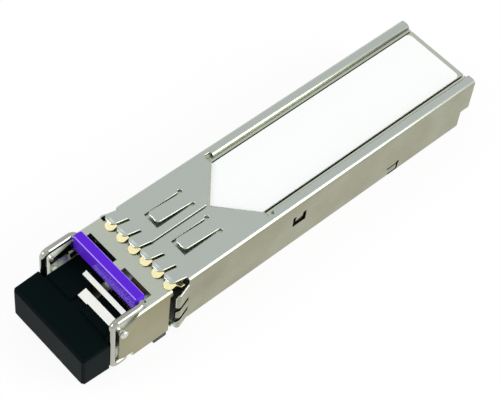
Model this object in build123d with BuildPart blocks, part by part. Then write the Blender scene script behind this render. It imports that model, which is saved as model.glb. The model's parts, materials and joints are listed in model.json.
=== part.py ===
"""Pluggable optical transceiver with one fibre port, a wire bail and a dust plug.

Frame: X across the width, Y from the port to the edge connector, Z up.
The origin is on the centre line of the underside, in the plane where the
cover's spring fingers start, which is where the module meets its cage.
"""
import os

from build123d import *

os.makedirs("parts", exist_ok=True)

# Cover: one blank of thin sheet, folded round the housing
shell_width = 13.7
shell_height = 8.5
cage_length = 49.0
sheet = 0.3
bend_radius = 0.55
seam_gap = 0.2
v_apex = 8.6
v_end = 13.2
chevron_margin = 1.95
rail_width = 1.5
lip_depth = 0.55
rail_notch_length = 1.1
bay_length = 10.4
skirt_setback = 1.5
skirt_step_height = 3.3

# Spring fingers cut in the front edge of the cover
finger_length = 2.4
finger_pitch = 2.15
finger_slot = 0.35
finger_rise = 0.6
finger_tip_drop = 0.15
finger_corner = 0.35
side_finger_start = 0.4
wide_finger_extra = 0.75

# Inner spring strip, whose tongues come out beside the slots between the fingers
strip_thickness = 0.1
strip_rear = 0.05
strip_offset = 0.55
spring_tongue_width = 1.4
spring_tongue_reach = 3.1
spring_tongue_radius = 0.6
spring_tongue_knee = 1.15
spring_tongue_slope = 0.8

# Tabs lanced in the top flaps
tab_centre = 2.5
tab_width = 1.95
tab_slot = 0.24
tab_front = 1.8
tab_root = 7.4
tab_lift = 0.5
tab_corner_radius = 0.45
relief_radius = 0.27

# Lances in the side walls
lance_front = 16.9
lance_width = 2.2
lance_bottom = 4.1
lance_height = 1.8
lance_slot = 0.42
lance_sink = 0.08
lower_lance_front = 34.0
lower_lance_length = 2.0
lower_lance_height = 1.95
lower_lance_slot = 0.3
lower_lance_relief = 0.28

# Die-cast housing: the nose that stays outside the cage, and a tray behind it
slip = 0.05
nose_length = 10.6
neck_length = 2.6
neck_depth = 0.85
nose_edge_radius = 0.5
plate_thickness = 0.9
plate_slope_start = 7.3
plate_front_drop = 1.0
plate_corner_radius = 0.9
bridge_drop = 1.8
bail_bay_rear = 5.9
notch_depth = 1.05
notch_inner = 0.72
notch_margin = 0.35
right_notch_drop = 1.3
tray_wall = 0.75
bay_floor = 1.35
panel_thickness = 0.8
panel_drop = 0.6
panel_groove = 0.45
rear_wall_height = 2.6

# Fibre port and the blank port beside it
port_floor = 1.8
bridge_wall = 0.3
port_depth = 7.0
blank_depth = 5.2
deck_front = 7.85
window_front = 9.35
window_rear = 8.4
window_margin = 0.1
rail_overhang = 1.9

# Bail: one bent wire, with a moulded grip on its crossbar
wire_diameter = 0.9
wire_sides = 12
wire_bend = 0.8
bail_inset = 0.5
bail_pivot_y = -9.0
bail_pivot_z = 0.6
bail_leg_y = -11.35
bail_bar_y = -6.7
bail_bar_rise = 0.75
crank_throw = 0.35
crank_jog = 1.25
crank_inner = 1.8
pivot_wall = 2.1
grip_margin = 0.9
grip_depth = 1.4
grip_below = 2.4
grip_above = 0.75
grip_edge_radius = 0.35
grip_end_chamfer = 0.3
stop_pin_radius = 0.6
stop_pin_y = -9.95
stop_pin_drop = 1.85
stop_pin_proud = 0.3

# Latch lever under the nose, which carries the boss that the cage holds
latch_shoulder = 4.0
boss_width = 2.6
boss_length = 2.6
boss_height = 0.45
lever_pivot_y = -4.15
lever_pivot_z = 0.75
lever_pin_radius = 0.3
lever_hub_radius = 0.62
lever_thickness = 0.5
lever_pad_thickness = 0.4
shoulder_bar_length = 1.9
shoulder_bar_top = 0.33
shoulder_bar_bottom = -0.55
lever_gap = 0.1
channel_half_width = 1.6
channel_rear = 7.3
running_gap = 0.03
spring_thickness = 0.12
detent_width = 2.6

# Dust plug
plug_front_margin = 0.3
plug_rear_margin = 0.15
plug_length = 3.85
plug_above = 1.85
plug_below = 3.45
plug_edge_radius = 0.35
plug_front_chamfer = 0.3
plug_neck_inset = 0.5
plug_neck_gap = 0.1
prong_gap = 0.1
prong_reach = 5.6
blank_prong_reach = 3.4

# Optical sub-assembly behind the port
barrel_radius = 1.5
barrel_reach = 4.4
flange_inset = 0.1
flange_thickness = 0.8
ferrule_bore_radius = 0.626
ferrule_sleeve_wall = 0.22
ferrule_sleeve_length = 5.9
port_wall = 0.9
block_length = 5.0
block_side_gap = 0.225
can_stem = 1.2
can_rim = 0.3
can_cap = 0.7
lead_radius = 0.2
lead_sides = 8
lead_length = 1.4
lead_circle = 0.9
flex_thickness = 0.2
flex_width = 3.4
flex_edge_gap = 0.725
flex_bend = 0.5
flex_overlap = 2.0
clamp_length = 1.8
clamp_leg = 0.4
clamp_roof = 0.55

# Circuit board
board_thickness = 1.0
board_drop = 1.85
board_front = 8.8
board_setback = 3.2
tongue_width = 9.2
tongue_length = 6.4
board_gap = 0.15
contact_pitch = 0.8
contact_width = 0.55
contact_length = 2.8
contact_thickness = 0.04
contacts_per_side = 10
contact_setback = 0.4
chip_height = 0.9
chip_chamfer = 0.08
driver_size = 4.0
driver_place = (-2.2, 14.4)
amplifier_size = 3.0
amplifier_inset = 2.6
amplifier_y = 14.2
controller_left_gap = 0.5
controller_right_gap = 0.3
controller_set_forward = 0.7
memory_size = 3.0
memory_place = (0.6, 20.8)
capacitor_width = 0.5
capacitor_length = 1.0
capacitor_height = 0.4
capacitor_pitch = 1.25
front_row_y = 18.4
rear_row_setback = 2.0
bead_length = 1.6
bead_width = 0.9
bead_pitch = 2.2
left_bead_inset = 2.2
right_bead_inset = 1.6
bead_set_back = 2.6
bead_set_forward = 1.6
screw_radius = 0.8
screw_head_radius = 1.35
screw_head_height = 0.7
screw_boss_radius = 1.5
screw_inset = 1.8
screw_front_gap = 2.6
screw_rear_gap = 3.9
screw_length = 3.0

# Label and inner soft parts
label_thickness = 0.12
label_side_gap = 0.2
label_apex_gap = 0.45
label_rear_gap = 0.7
label_corner = 0.7
pad_margin = 0.2

# Places worked out from the sizes above
half_width = shell_width / 2
top_fingers = int((shell_width - bend_radius) / finger_pitch)
side_fingers = int((shell_height - side_finger_start - finger_pitch / 2) / finger_pitch)
v_half_width = half_width - chevron_margin
floor_length = cage_length - bay_length
inner_half_width = half_width - sheet
tray_half_width = inner_half_width - slip
tray_bottom = sheet + slip
tray_top = shell_height - sheet - slip
rail_inner = half_width - rail_width
nose_front = -nose_length
nose_rear = -neck_length
plate_front_height = shell_height - plate_front_drop
bridge_height = shell_height - bridge_drop
right_notch_floor = shell_height - right_notch_drop
panel_height = shell_height - panel_drop
rear_wall_bottom = shell_height - rear_wall_height
port_size = bridge_height - bridge_wall - port_floor
port_axis_height = port_floor + port_size / 2
panel_underside = panel_height - panel_thickness
block_size = 2 * (panel_underside - clamp_roof - slip - port_axis_height)
tray_inner_half = tray_half_width - tray_wall
port_x = block_size / 2 + block_side_gap - tray_inner_half
port_roof = port_axis_height + port_size / 2
port_back = nose_front + port_depth
port_half = port_size / 2
plate_inner = half_width - plate_thickness
notch_outer = plate_inner - notch_margin
wire_radius = wire_diameter / 2
bail_half_width = half_width - bail_inset
bail_bar_z = shell_height + bail_bar_rise
pivot_wall_inner = half_width - pivot_wall
crank_outer = pivot_wall_inner - crank_jog
grip_half_length = half_width - grip_margin
stop_pin_z = shell_height - stop_pin_drop
wire_cut_top = bail_pivot_z + wire_radius + 0.2
wire_cut_inner = bail_half_width - wire_bend
wire_cut_rear = bail_pivot_y + wire_radius + 0.15
board_half = tray_inner_half - board_gap
board_bottom = port_axis_height - board_drop
board_top = board_bottom + board_thickness
board_rear = cage_length - board_setback
port_axis = (port_x, port_axis_height)
rear_row_y = board_rear - tongue_length - rear_row_setback
left_bead_x = left_bead_inset - board_half
right_bead_x = board_half - right_bead_inset
controller_low_x = left_bead_x + bead_length / 2 + controller_left_gap
controller_high_x = right_bead_x - bead_length / 2 - controller_right_gap
controller_size = controller_high_x - controller_low_x
controller_place = (
    (controller_low_x + controller_high_x) / 2,
    (front_row_y + rear_row_y) / 2 - controller_set_forward,
)
pad_size = controller_size - 2 * pad_margin
amplifier_place = (board_half - amplifier_inset, amplifier_y)
screw_places = [
    (screw_inset - board_half, front_row_y + screw_front_gap),
    (board_half - screw_inset, rear_row_y - screw_rear_gap),
]
bead_places = [
    (left_bead_x, controller_place[1] + bead_set_back),
    (right_bead_x, controller_place[1] - bead_set_forward),
]


def side_box(x_range, y_range, z_range, mode=Mode.ADD):
    """A block between two corners, for pockets and lands of the castings."""
    (x0, x1), (y0, y1), (z0, z1) = x_range, y_range, z_range
    with Locations(((x0 + x1) / 2, (y0 + y1) / 2, (z0 + z1) / 2)):
        return Box(abs(x1 - x0), abs(y1 - y0), abs(z1 - z0), mode=mode)


def across(y):
    """The plane across the module at a distance y, facing the port."""
    return Plane.XZ.offset(-y)


# One spring finger: it leaves the sheet level, rises outwards and dips at its tip
with BuildPart() as finger:
    with BuildSketch(Plane.YZ):
        with BuildLine():
            tip = -finger_length
            knee = 0.75 * tip
            Polyline(
                (sheet, -sheet),
                (0, -sheet),
                (knee, finger_rise - sheet),
                (tip, finger_rise - finger_tip_drop - sheet),
                (tip, finger_rise - finger_tip_drop),
                (knee, finger_rise),
                (0, 0),
                (sheet, 0),
                close=True,
            )
        make_face()
    extrude(amount=(finger_pitch - finger_slot) / 2, both=True)
    tip_edges = finger.edges().filter_by(Axis.Z).group_by(Axis.Y)[0]
    chamfer(tip_edges, finger_corner)

# One tab of the top flaps, bent up towards its free end at the front
with BuildPart() as flap_tab:
    with BuildSketch(Plane.YZ):
        with BuildLine():
            Polyline(
                (tab_root + sheet, shell_height - sheet),
                (tab_root - sheet, shell_height - sheet),
                (tab_front + tab_slot, shell_height - sheet + tab_lift),
                (tab_front + tab_slot, shell_height + tab_lift),
                (tab_root - sheet, shell_height),
                (tab_root + sheet, shell_height),
                close=True,
            )
        make_face()
    extrude(amount=tab_width / 2, both=True)
    free_end = flap_tab.edges().filter_by(Axis.Z).group_by(Axis.Y)[0]
    fillet(free_end, tab_corner_radius)

# Cover: floor, two side walls and two flaps that meet on top at a seam
with BuildPart() as cover_shell:
    with BuildSketch(across(0)):
        with Locations((0, shell_height / 2)):
            RectangleRounded(shell_width, shell_height, bend_radius)
            RectangleRounded(
                shell_width - 2 * sheet,
                shell_height - 2 * sheet,
                bend_radius - sheet,
                mode=Mode.SUBTRACT,
            )
    extrude(amount=-cage_length)

    # Seam, chevron and the open top over the label panel, between the rails
    with BuildSketch(Plane.XY.offset(shell_height - 2 * sheet)):
        with Locations((0, v_apex / 2)):
            Rectangle(seam_gap, v_apex + 1)
        with BuildLine():
            Polyline(
                (0, v_apex - seam_gap / 2),
                (v_half_width, v_end),
                (rail_inner, v_end + rail_notch_length / 2),
                (rail_inner, cage_length + 1),
                (-rail_inner, cage_length + 1),
                (-rail_inner, v_end + rail_notch_length / 2),
                (-v_half_width, v_end),
                close=True,
            )
        make_face()
        notch_x = (v_half_width + rail_inner + 0.6) / 2
        notch_width = rail_inner + 0.6 - v_half_width
        with Locations(
            (notch_x, v_end + rail_notch_length / 2),
            (-notch_x, v_end + rail_notch_length / 2),
        ):
            RectangleRounded(notch_width, rail_notch_length, 0.3)
    extrude(amount=3 * sheet, mode=Mode.SUBTRACT)

    # Rails: the inner edge of each flap is folded down to the panel
    lip_front = v_end + rail_notch_length
    for side in (-1, 1):
        side_box(
            (side * rail_inner, side * (rail_inner + sheet)),
            (lip_front, cage_length),
            (shell_height - lip_depth, shell_height - sheet / 2),
        )
    folds = (
        cover_shell.edges()
        .filter_by(Axis.Y)
        .filter_by(lambda e: abs(abs(e.center().X) - rail_inner) < slip)
        .filter_by(lambda e: e.center().Z > shell_height - slip)
    )
    fillet(folds, 0.8 * sheet)

    # Openings for the tabs, with round reliefs at the ends of their slots
    with BuildSketch(Plane.XY.offset(shell_height - 2 * sheet)):
        tab_opening = tab_width + 2 * tab_slot
        with Locations(
            (-tab_centre, (tab_front + tab_root) / 2),
            (tab_centre, (tab_front + tab_root) / 2),
        ):
            Rectangle(tab_opening, tab_root - tab_front)
        with Locations(
            *[
                (side * tab_centre + edge * tab_opening / 2, tab_root)
                for side in (-1, 1)
                for edge in (-1, 1)
            ]
        ):
            Circle(relief_radius)
    extrude(amount=3 * sheet, mode=Mode.SUBTRACT)
    with Locations((-tab_centre, 0, 0), (tab_centre, 0, 0)):
        add(flap_tab.part)

    # Floor: the latch opening in front and the connector bay at the rear
    side_box(
        (-channel_half_width, channel_half_width),
        (-1, channel_rear),
        (-1, 2 * sheet),
        mode=Mode.SUBTRACT,
    )
    bay_half_width = half_width - bend_radius
    side_box(
        (-bay_half_width, bay_half_width),
        (floor_length, cage_length + 1),
        (-1, 2 * sheet),
        mode=Mode.SUBTRACT,
    )
    side_box(
        (-half_width - 1, half_width + 1),
        (cage_length - skirt_setback, cage_length + 1),
        (-1, skirt_step_height),
        mode=Mode.SUBTRACT,
    )

    # Lances in both side walls: a hanging tab pressed in, and a slit near the floor
    for side in (-1, 1):
        wall_in, wall_out = side * (inner_half_width - sheet), side * (half_width + 1)
        side_box(
            (wall_in, wall_out),
            (lance_front, lance_front + lance_width),
            (lance_bottom, lance_bottom + lance_height),
            mode=Mode.SUBTRACT,
        )
        with BuildSketch(Plane.XZ.offset(-(lance_front + lance_slot))):
            with BuildLine():
                lance_top = lance_bottom + lance_height
                sunk = lance_bottom + lance_slot
                Polyline(
                    (side * half_width, lance_top + sheet / 2),
                    (side * half_width, lance_top),
                    (side * (half_width - lance_sink), sunk),
                    (side * (inner_half_width - lance_sink), sunk),
                    (side * inner_half_width, lance_top),
                    (side * inner_half_width, lance_top + sheet / 2),
                    close=True,
                )
            make_face()
        extrude(amount=-(lance_width - 2 * lance_slot))
        slit_end = lower_lance_front + lower_lance_length
        side_box(
            (wall_in, wall_out),
            (lower_lance_front, slit_end),
            (lower_lance_height - lower_lance_slot, lower_lance_height),
            mode=Mode.SUBTRACT,
        )
        side_box(
            (wall_in, wall_out),
            (slit_end - lower_lance_slot, slit_end),
            (bend_radius, lower_lance_height),
            mode=Mode.SUBTRACT,
        )
        side_box(
            (wall_in, wall_out),
            (lower_lance_front + sheet, slit_end),
            (sheet, bend_radius + sheet / 2),
            mode=Mode.SUBTRACT,
        )
        with BuildSketch(Plane.YZ.offset(side * half_width)):
            with Locations((slit_end - lower_lance_slot / 2, lower_lance_height)):
                Circle(lower_lance_relief)
        extrude(amount=-side * 2 * sheet, mode=Mode.SUBTRACT)

    # Spring fingers along the top, both sides and the bottom
    finger_row = [(i - (top_fingers - 1) / 2) * finger_pitch for i in range(top_fingers)]
    side_row = [side_finger_start + (i + 0.5) * finger_pitch for i in range(side_fingers)]
    # The top finger of each side is a wide one, cut as two that run together
    side_row.append(side_row[-1] + wide_finger_extra)
    floor_row = [x for x in finger_row if abs(x) > channel_half_width + finger_pitch / 2]
    with Locations(*[Location((x, 0, shell_height)) for x in finger_row]):
        add(finger.part)
    with Locations(*[Location((half_width, 0, z), (0, 90, 0)) for z in side_row]):
        add(finger.part)
    with Locations(*[Location((-half_width, 0, z), (0, -90, 0)) for z in side_row]):
        add(finger.part)
    with Locations(*[Location((x, 0, 0), (0, 180, 0)) for x in floor_row]):
        add(finger.part)

# Housing: one zinc die casting, nose in front and open-bottomed tray behind
with BuildPart() as base_housing:
    # Nose, from its side profile, with the long edges rounded
    with BuildSketch(Plane.YZ):
        with BuildLine():
            Polyline(
                (nose_rear, 0),
                (wire_cut_rear, 0),
                (wire_cut_rear, wire_cut_top),
                (nose_front, wire_cut_top),
                (nose_front, plate_front_height),
                (-plate_slope_start, shell_height),
                (nose_rear, shell_height),
                close=True,
            )
        make_face()
    extrude(amount=half_width, both=True)
    front_edges = base_housing.edges().filter_by(Axis.X).group_by(Axis.Y)[0]
    fillet(front_edges, plate_corner_radius)
    long_edges = (
        base_housing.edges()
        .filter_by(Axis.Y)
        .filter_by(lambda e: abs(e.center().Z % shell_height) < 0.01)
    )
    fillet(long_edges, nose_edge_radius)
    side_box(
        (-wire_cut_inner, wire_cut_inner),
        (nose_front, wire_cut_rear + 0.5),
        (0, wire_cut_top + 0.5),
    )

    # Room for the bail's grip between the side plates
    side_box(
        (-plate_inner, plate_inner),
        (nose_front - 1, -bail_bay_rear),
        (bridge_height, shell_height + 1),
        mode=Mode.SUBTRACT,
    )

    # Fibre port on the left, open above for the connector's latch, blank port beside it
    side_box(
        (port_x - port_half, port_x + port_half),
        (nose_front - 1, port_back),
        (port_floor, port_roof),
        mode=Mode.SUBTRACT,
    )
    side_box(
        (-port_x - port_half, -port_x + port_half),
        (nose_front - 1, nose_front + blank_depth),
        (port_floor, port_roof),
        mode=Mode.SUBTRACT,
    )
    side_box(
        (-plate_inner, port_x + port_half),
        (nose_front - 1, -deck_front),
        (port_roof - 0.5, shell_height),
        mode=Mode.SUBTRACT,
    )
    side_box(
        (port_x + port_half - window_margin, plate_inner - window_margin),
        (-window_front, -window_rear),
        (port_axis_height, shell_height),
        mode=Mode.SUBTRACT,
    )
    side_box(
        (port_x + port_half - rail_overhang, port_x + port_half + 0.3),
        (-window_rear, -deck_front + 0.3),
        (port_roof, bridge_height),
    )

    # Notches in the front edge of the top: the left one opens into the port
    side_box(
        (-notch_outer, -notch_inner),
        (-bail_bay_rear - 0.5, -bail_bay_rear + notch_depth),
        (port_roof - 0.5, shell_height + 1),
        mode=Mode.SUBTRACT,
    )
    side_box(
        (notch_inner, notch_outer),
        (-bail_bay_rear - 0.5, -bail_bay_rear + notch_depth),
        (right_notch_floor, shell_height + 1),
        mode=Mode.SUBTRACT,
    )

    # Neck that leaves the spring fingers room to flex, then the tray
    side_box(
        (-half_width + neck_depth, half_width - neck_depth),
        (nose_rear - 0.5, 0.5),
        (neck_depth, shell_height - neck_depth),
    )
    with BuildSketch(across(0)):
        with Locations((0, (tray_bottom + tray_top) / 2)):
            RectangleRounded(2 * tray_half_width, tray_top - tray_bottom, bend_radius - sheet)
    extrude(amount=-cage_length)

    # Recess of the label panel, under the chevron and between the rails
    with BuildSketch(Plane.XY.offset(panel_height)):
        with BuildLine():
            lip_outer = rail_inner + sheet + slip
            Polyline(
                (0, v_apex - seam_gap),
                (v_half_width + 2 * slip, v_end),
                (lip_outer, v_end),
                (lip_outer, cage_length + 1),
                (-lip_outer, cage_length + 1),
                (-lip_outer, v_end),
                (-v_half_width - 2 * slip, v_end),
                close=True,
            )
        make_face()
    extrude(amount=1, mode=Mode.SUBTRACT)

    # Grooves that the folded edges of the rails stand over, beside the label
    for side in (-1, 1):
        side_box(
            (side * (v_half_width - label_side_gap + slip), side * lip_outer),
            (v_end + label_apex_gap, cage_length + 1),
            (panel_height - panel_groove, panel_height),
            mode=Mode.SUBTRACT,
        )

    # Pockets that the pressed-in lances of the cover lock into
    for side in (-1, 1):
        side_box(
            (side * (tray_half_width - 2 * sheet), side * (half_width + 1)),
            (lance_front, lance_front + lance_width),
            (lance_bottom, lance_bottom + lance_height + sheet),
            mode=Mode.SUBTRACT,
        )

    # Inside of the tray: optics bay and board bay, open below
    bay_front = port_back + port_wall
    side_box(
        (-tray_inner_half, tray_inner_half),
        (bay_front, cage_length + 1),
        (bay_floor, panel_underside),
        mode=Mode.SUBTRACT,
    )
    side_box(
        (-tray_inner_half, tray_inner_half),
        (tray_wall, cage_length + 1),
        (-1, bay_floor + tray_wall),
        mode=Mode.SUBTRACT,
    )
    side_box(
        (-half_width, half_width),
        (floor_length, cage_length + 1),
        (-1, rear_wall_bottom),
        mode=Mode.SUBTRACT,
    )

    # Ledges and screw bosses that the board seats against
    for side in (-1, 1):
        side_box(
            (side * (tray_inner_half - 0.6), side * (tray_inner_half + 0.2)),
            (board_front, floor_length),
            (board_top, board_top + tray_wall),
        )
    for x, y in screw_places:
        with BuildSketch(Plane.XY.offset(board_top)):
            with Locations((x, y)):
                Circle(screw_boss_radius)
        extrude(amount=panel_underside - board_top + 0.2)
        with BuildSketch(Plane.XY.offset(board_top)):
            with Locations((x, y)):
                Circle(screw_radius)
        extrude(amount=screw_length - board_thickness + tray_wall, mode=Mode.SUBTRACT)

    # Hole for the receptacle barrel, through the back wall of the port
    with BuildSketch(across(port_back - 0.5)):
        with Locations(port_axis):
            Circle(barrel_radius + slip)
    extrude(amount=-(port_wall + 1), mode=Mode.SUBTRACT)

    # Underside: crank pocket, latch channel, shoulder slot and the bail's pivot holes
    crank_pocket_top = port_floor - 0.25
    side_box(
        (-pivot_wall_inner, pivot_wall_inner),
        (nose_front + 0.45, bail_pivot_y + 1.0),
        (-1, crank_pocket_top),
        mode=Mode.SUBTRACT,
    )
    side_box(
        (-channel_half_width, channel_half_width),
        (nose_front + 1, channel_rear),
        (-1, crank_pocket_top),
        mode=Mode.SUBTRACT,
    )
    side_box(
        (-channel_half_width, channel_half_width),
        (port_back, channel_rear),
        (-1, bay_floor + tray_wall),
        mode=Mode.SUBTRACT,
    )
    side_box(
        (-half_width - 1, half_width + 1),
        (
            lever_pivot_y - shoulder_bar_length / 2 - lever_gap,
            lever_pivot_y + shoulder_bar_length / 2 + lever_gap,
        ),
        (-1, shoulder_bar_top + lever_gap),
        mode=Mode.SUBTRACT,
    )
    with BuildSketch(Plane.YZ.offset(-half_width)):
        with Locations((bail_pivot_y, bail_pivot_z)):
            Circle(wire_radius + slip)
    extrude(amount=shell_width, mode=Mode.SUBTRACT)
    with BuildSketch(Plane.YZ.offset(-2 * boss_width)):
        with Locations((lever_pivot_y, lever_pivot_z)):
            Circle(lever_pin_radius)
    extrude(amount=4 * boss_width, mode=Mode.SUBTRACT)
    for side in (-1, 1):
        with BuildSketch(Plane.YZ.offset(side * plate_inner)):
            with Locations((stop_pin_y, stop_pin_z)):
                Circle(stop_pin_radius)
        extrude(amount=side * plate_thickness, mode=Mode.SUBTRACT)

# Bail: the wire turns in at the bottom into a crank that holds the latch lever. Its
# section is a polygon with many sides, which keeps its eight tight bends light.
with BuildPart() as bail_wire:
    with BuildLine():
        crank_y = bail_pivot_y - crank_throw
        half_path = [
            (crank_inner, crank_y, bail_pivot_z),
            (crank_outer, crank_y, bail_pivot_z),
            (pivot_wall_inner - slip, bail_pivot_y, bail_pivot_z),
            (bail_half_width, bail_pivot_y, bail_pivot_z),
            (bail_half_width, bail_leg_y, bail_pivot_z),
            (bail_half_width, bail_leg_y, bail_bar_z),
            (bail_half_width, bail_bar_y, bail_bar_z),
        ]
        other_half = [(-x, y, z) for x, y, z in reversed(half_path)]
        wire_line = FilletPolyline(*half_path, *other_half, radius=wire_bend)
    with BuildSketch(Plane(half_path[0], z_dir=(1, 0, 0))):
        RegularPolygon(wire_radius, wire_sides)
    sweep(path=wire_line)

# Grip moulded on the crossbar: a tall bar, its ends eased, with the wire's own bore
with BuildPart() as bail_grip:
    with BuildSketch(Plane.YZ):
        with Locations((bail_bar_y, bail_bar_z + (grip_above - grip_below) / 2)):
            RectangleRounded(grip_depth, grip_above + grip_below, grip_edge_radius)
    extrude(amount=grip_half_length, both=True)
    grip_ends = bail_grip.faces().filter_by(Axis.X).sort_by(Axis.X)
    chamfer(grip_ends[0].edges() + grip_ends[-1].edges(), grip_end_chamfer)
    add(bail_wire.part, mode=Mode.SUBTRACT)

# Stop pins pressed into the side plates, one each side, with chamfered heads
with BuildPart() as bail_stop_pins:
    with BuildSketch(Plane.YZ.offset(plate_inner)):
        with Locations((stop_pin_y, stop_pin_z)):
            Circle(stop_pin_radius)
    extrude(amount=plate_thickness + stop_pin_proud)
    chamfer(bail_stop_pins.edges().group_by(Axis.X)[-1], 0.6 * stop_pin_proud)
    mirror(about=Plane.YZ)

# Latch lever: pad over the cranks, pivot hub, wide shoulder bar and the boss
with BuildPart() as latch_lever:
    arm_half = boss_width / 2
    arm_bottom = bail_pivot_z - slip
    pad_bottom = bail_pivot_z + wire_radius + slip / 2
    arm_top = arm_bottom + lever_thickness
    pad_rear = bail_pivot_y + wire_radius + 2 * lever_gap
    lever_pad_half_width = crank_outer - lever_gap
    side_box(
        (-lever_pad_half_width, lever_pad_half_width),
        (nose_front + 0.6, pad_rear),
        (pad_bottom, pad_bottom + lever_pad_thickness),
    )
    side_box(
        (-arm_half, arm_half),
        (pad_rear - lever_pad_thickness, pad_rear),
        (arm_bottom, pad_bottom + lever_pad_thickness / 2),
    )
    side_box(
        (-arm_half, arm_half),
        (pad_rear - lever_thickness, latch_shoulder + boss_length),
        (arm_bottom, arm_top),
    )
    side_box(
        (-half_width + lever_gap, half_width - lever_gap),
        (lever_pivot_y - shoulder_bar_length / 2, lever_pivot_y + shoulder_bar_length / 2),
        (shoulder_bar_bottom, shoulder_bar_top),
    )
    with BuildSketch(Plane.YZ.offset(-arm_half)):
        with Locations((lever_pivot_y, lever_pivot_z)):
            Circle(lever_hub_radius)
    extrude(amount=boss_width)
    with BuildSketch(Plane.YZ.offset(-arm_half)):
        with BuildLine():
            Polyline(
                (latch_shoulder, arm_top),
                (latch_shoulder, -boss_height),
                (latch_shoulder + 0.3 * boss_length, -boss_height),
                (latch_shoulder + boss_length, 0.2 * sheet),
                (latch_shoulder + boss_length, arm_top),
                close=True,
            )
        make_face()
    extrude(amount=boss_width)
    with BuildSketch(Plane.YZ.offset(-half_width)):
        with Locations((lever_pivot_y, lever_pivot_z)):
            Circle(lever_pin_radius + running_gap)
    extrude(amount=shell_width, mode=Mode.SUBTRACT)

with BuildPart() as latch_pivot_pin:
    with BuildSketch(Plane.YZ.offset(-2 * boss_width)):
        with Locations((lever_pivot_y, lever_pivot_z)):
            Circle(lever_pin_radius)
    extrude(amount=4 * boss_width)

# Leaf spring: tips the lever's front down, so the boss is drawn in when the cranks drop
with BuildPart() as latch_leaf_spring:
    with BuildSketch(Plane.YZ.offset(-arm_half / 2)):
        with BuildLine():
            spring_top = port_floor - 0.25
            spring_rear = lever_pivot_y - lever_hub_radius - 3 * lever_gap
            spring_front = pad_rear + 2 * lever_gap
            Polyline(
                (spring_rear, spring_top),
                (spring_front + 0.6, spring_top),
                (spring_front, arm_top + 0.02),
                (spring_front + spring_thickness, arm_top + 0.02),
                (spring_front + 0.6 + spring_thickness, spring_top - spring_thickness),
                (spring_rear, spring_top - spring_thickness),
                close=True,
            )
        make_face()
    extrude(amount=arm_half)

# Detent spring under the grip: a bent bronze strip in the right-hand notch
with BuildPart() as bail_detent_spring:
    with BuildSketch(Plane.YZ.offset(notch_inner + 1.2)):
        with BuildLine():
            detent_rear = -bail_bay_rear + notch_depth
            Polyline(
                (detent_rear, right_notch_floor),
                (detent_rear, right_notch_floor + spring_thickness),
                (-bail_bay_rear + 0.35, right_notch_floor + 0.9),
                (-bail_bay_rear + 0.05, right_notch_floor + 0.5),
                (-bail_bay_rear + 0.15, right_notch_floor + 0.45),
                (-bail_bay_rear + 0.38, right_notch_floor + 0.72),
                (detent_rear - 0.3, right_notch_floor),
                close=True,
            )
        make_face()
    extrude(amount=detent_width)

# One tongue of the inner spring strip: off the neck, up and out over the nose
with BuildPart() as strip_tongue:
    neck_top = shell_height - neck_depth
    tongue_low = shell_height + slip / 5
    with BuildSketch(Plane.YZ):
        with BuildLine():
            Polyline(
                (-strip_rear - 0.5, neck_top),
                (-spring_tongue_knee, neck_top),
                (-spring_tongue_knee - spring_tongue_slope, tongue_low),
                (-spring_tongue_reach, tongue_low),
                (-spring_tongue_reach, tongue_low + strip_thickness),
                (slip - spring_tongue_knee - spring_tongue_slope, tongue_low + strip_thickness),
                (slip - spring_tongue_knee, neck_top + strip_thickness),
                (-strip_rear - 0.5, neck_top + strip_thickness),
                close=True,
            )
        make_face()
    extrude(amount=spring_tongue_width / 2, both=True)
    tongue_tip = strip_tongue.edges().filter_by(Axis.Z).group_by(Axis.Y)[0]
    fillet(tongue_tip, spring_tongue_radius)

# Inner spring strip: it lies on the neck under the fingers, with a tongue by each slot
with BuildPart() as emi_spring_strip:
    tongue_row = [x + finger_pitch / 2 - strip_offset for x in finger_row]
    strip_half = half_width - neck_depth - slip
    side_box(
        (-strip_half, strip_half),
        (-strip_rear - 0.8, -strip_rear),
        (neck_top, neck_top + strip_thickness),
    )
    with Locations(*[(x, 0, 0) for x in tongue_row]):
        add(strip_tongue.part)

# Dust plug: rubber block with two prongs, the left one hollow over the barrel
with BuildPart() as dust_plug:
    plug_rear = bail_leg_y - wire_radius - lever_gap
    plug_top = port_axis_height + plug_above
    plug_height = plug_above + plug_below
    plug_mid = plug_top - plug_height / 2
    with BuildSketch(across(plug_rear)):
        with Locations((0, plug_mid)):
            RectangleRounded(2 * (half_width - plug_rear_margin), plug_height, plug_edge_radius)
    with BuildSketch(across(plug_rear - plug_length)):
        with Locations((0, plug_mid)):
            RectangleRounded(2 * (half_width - plug_front_margin), plug_height, plug_edge_radius)
    loft()
    chamfer(dust_plug.faces().sort_by(Axis.Y)[0].edges(), plug_front_chamfer)
    plug_neck_half_width = bail_half_width - wire_radius - plug_neck_inset
    side_box(
        (-plug_neck_half_width, plug_neck_half_width),
        (plug_rear - 0.5, nose_front - plug_neck_gap),
        (port_floor + plug_neck_gap, plug_top),
    )
    prong_half = port_half - prong_gap
    for x, reach in ((port_x, prong_reach), (-port_x, blank_prong_reach)):
        side_box(
            (x - prong_half, x + prong_half),
            (nose_front - 1, nose_front + reach),
            (port_axis_height - prong_half, port_axis_height + prong_half),
        )
    with BuildSketch(across(nose_front + prong_reach)):
        with Locations(port_axis):
            Circle(barrel_radius + 2 * lever_gap)
    extrude(amount=prong_reach, mode=Mode.SUBTRACT)

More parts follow.
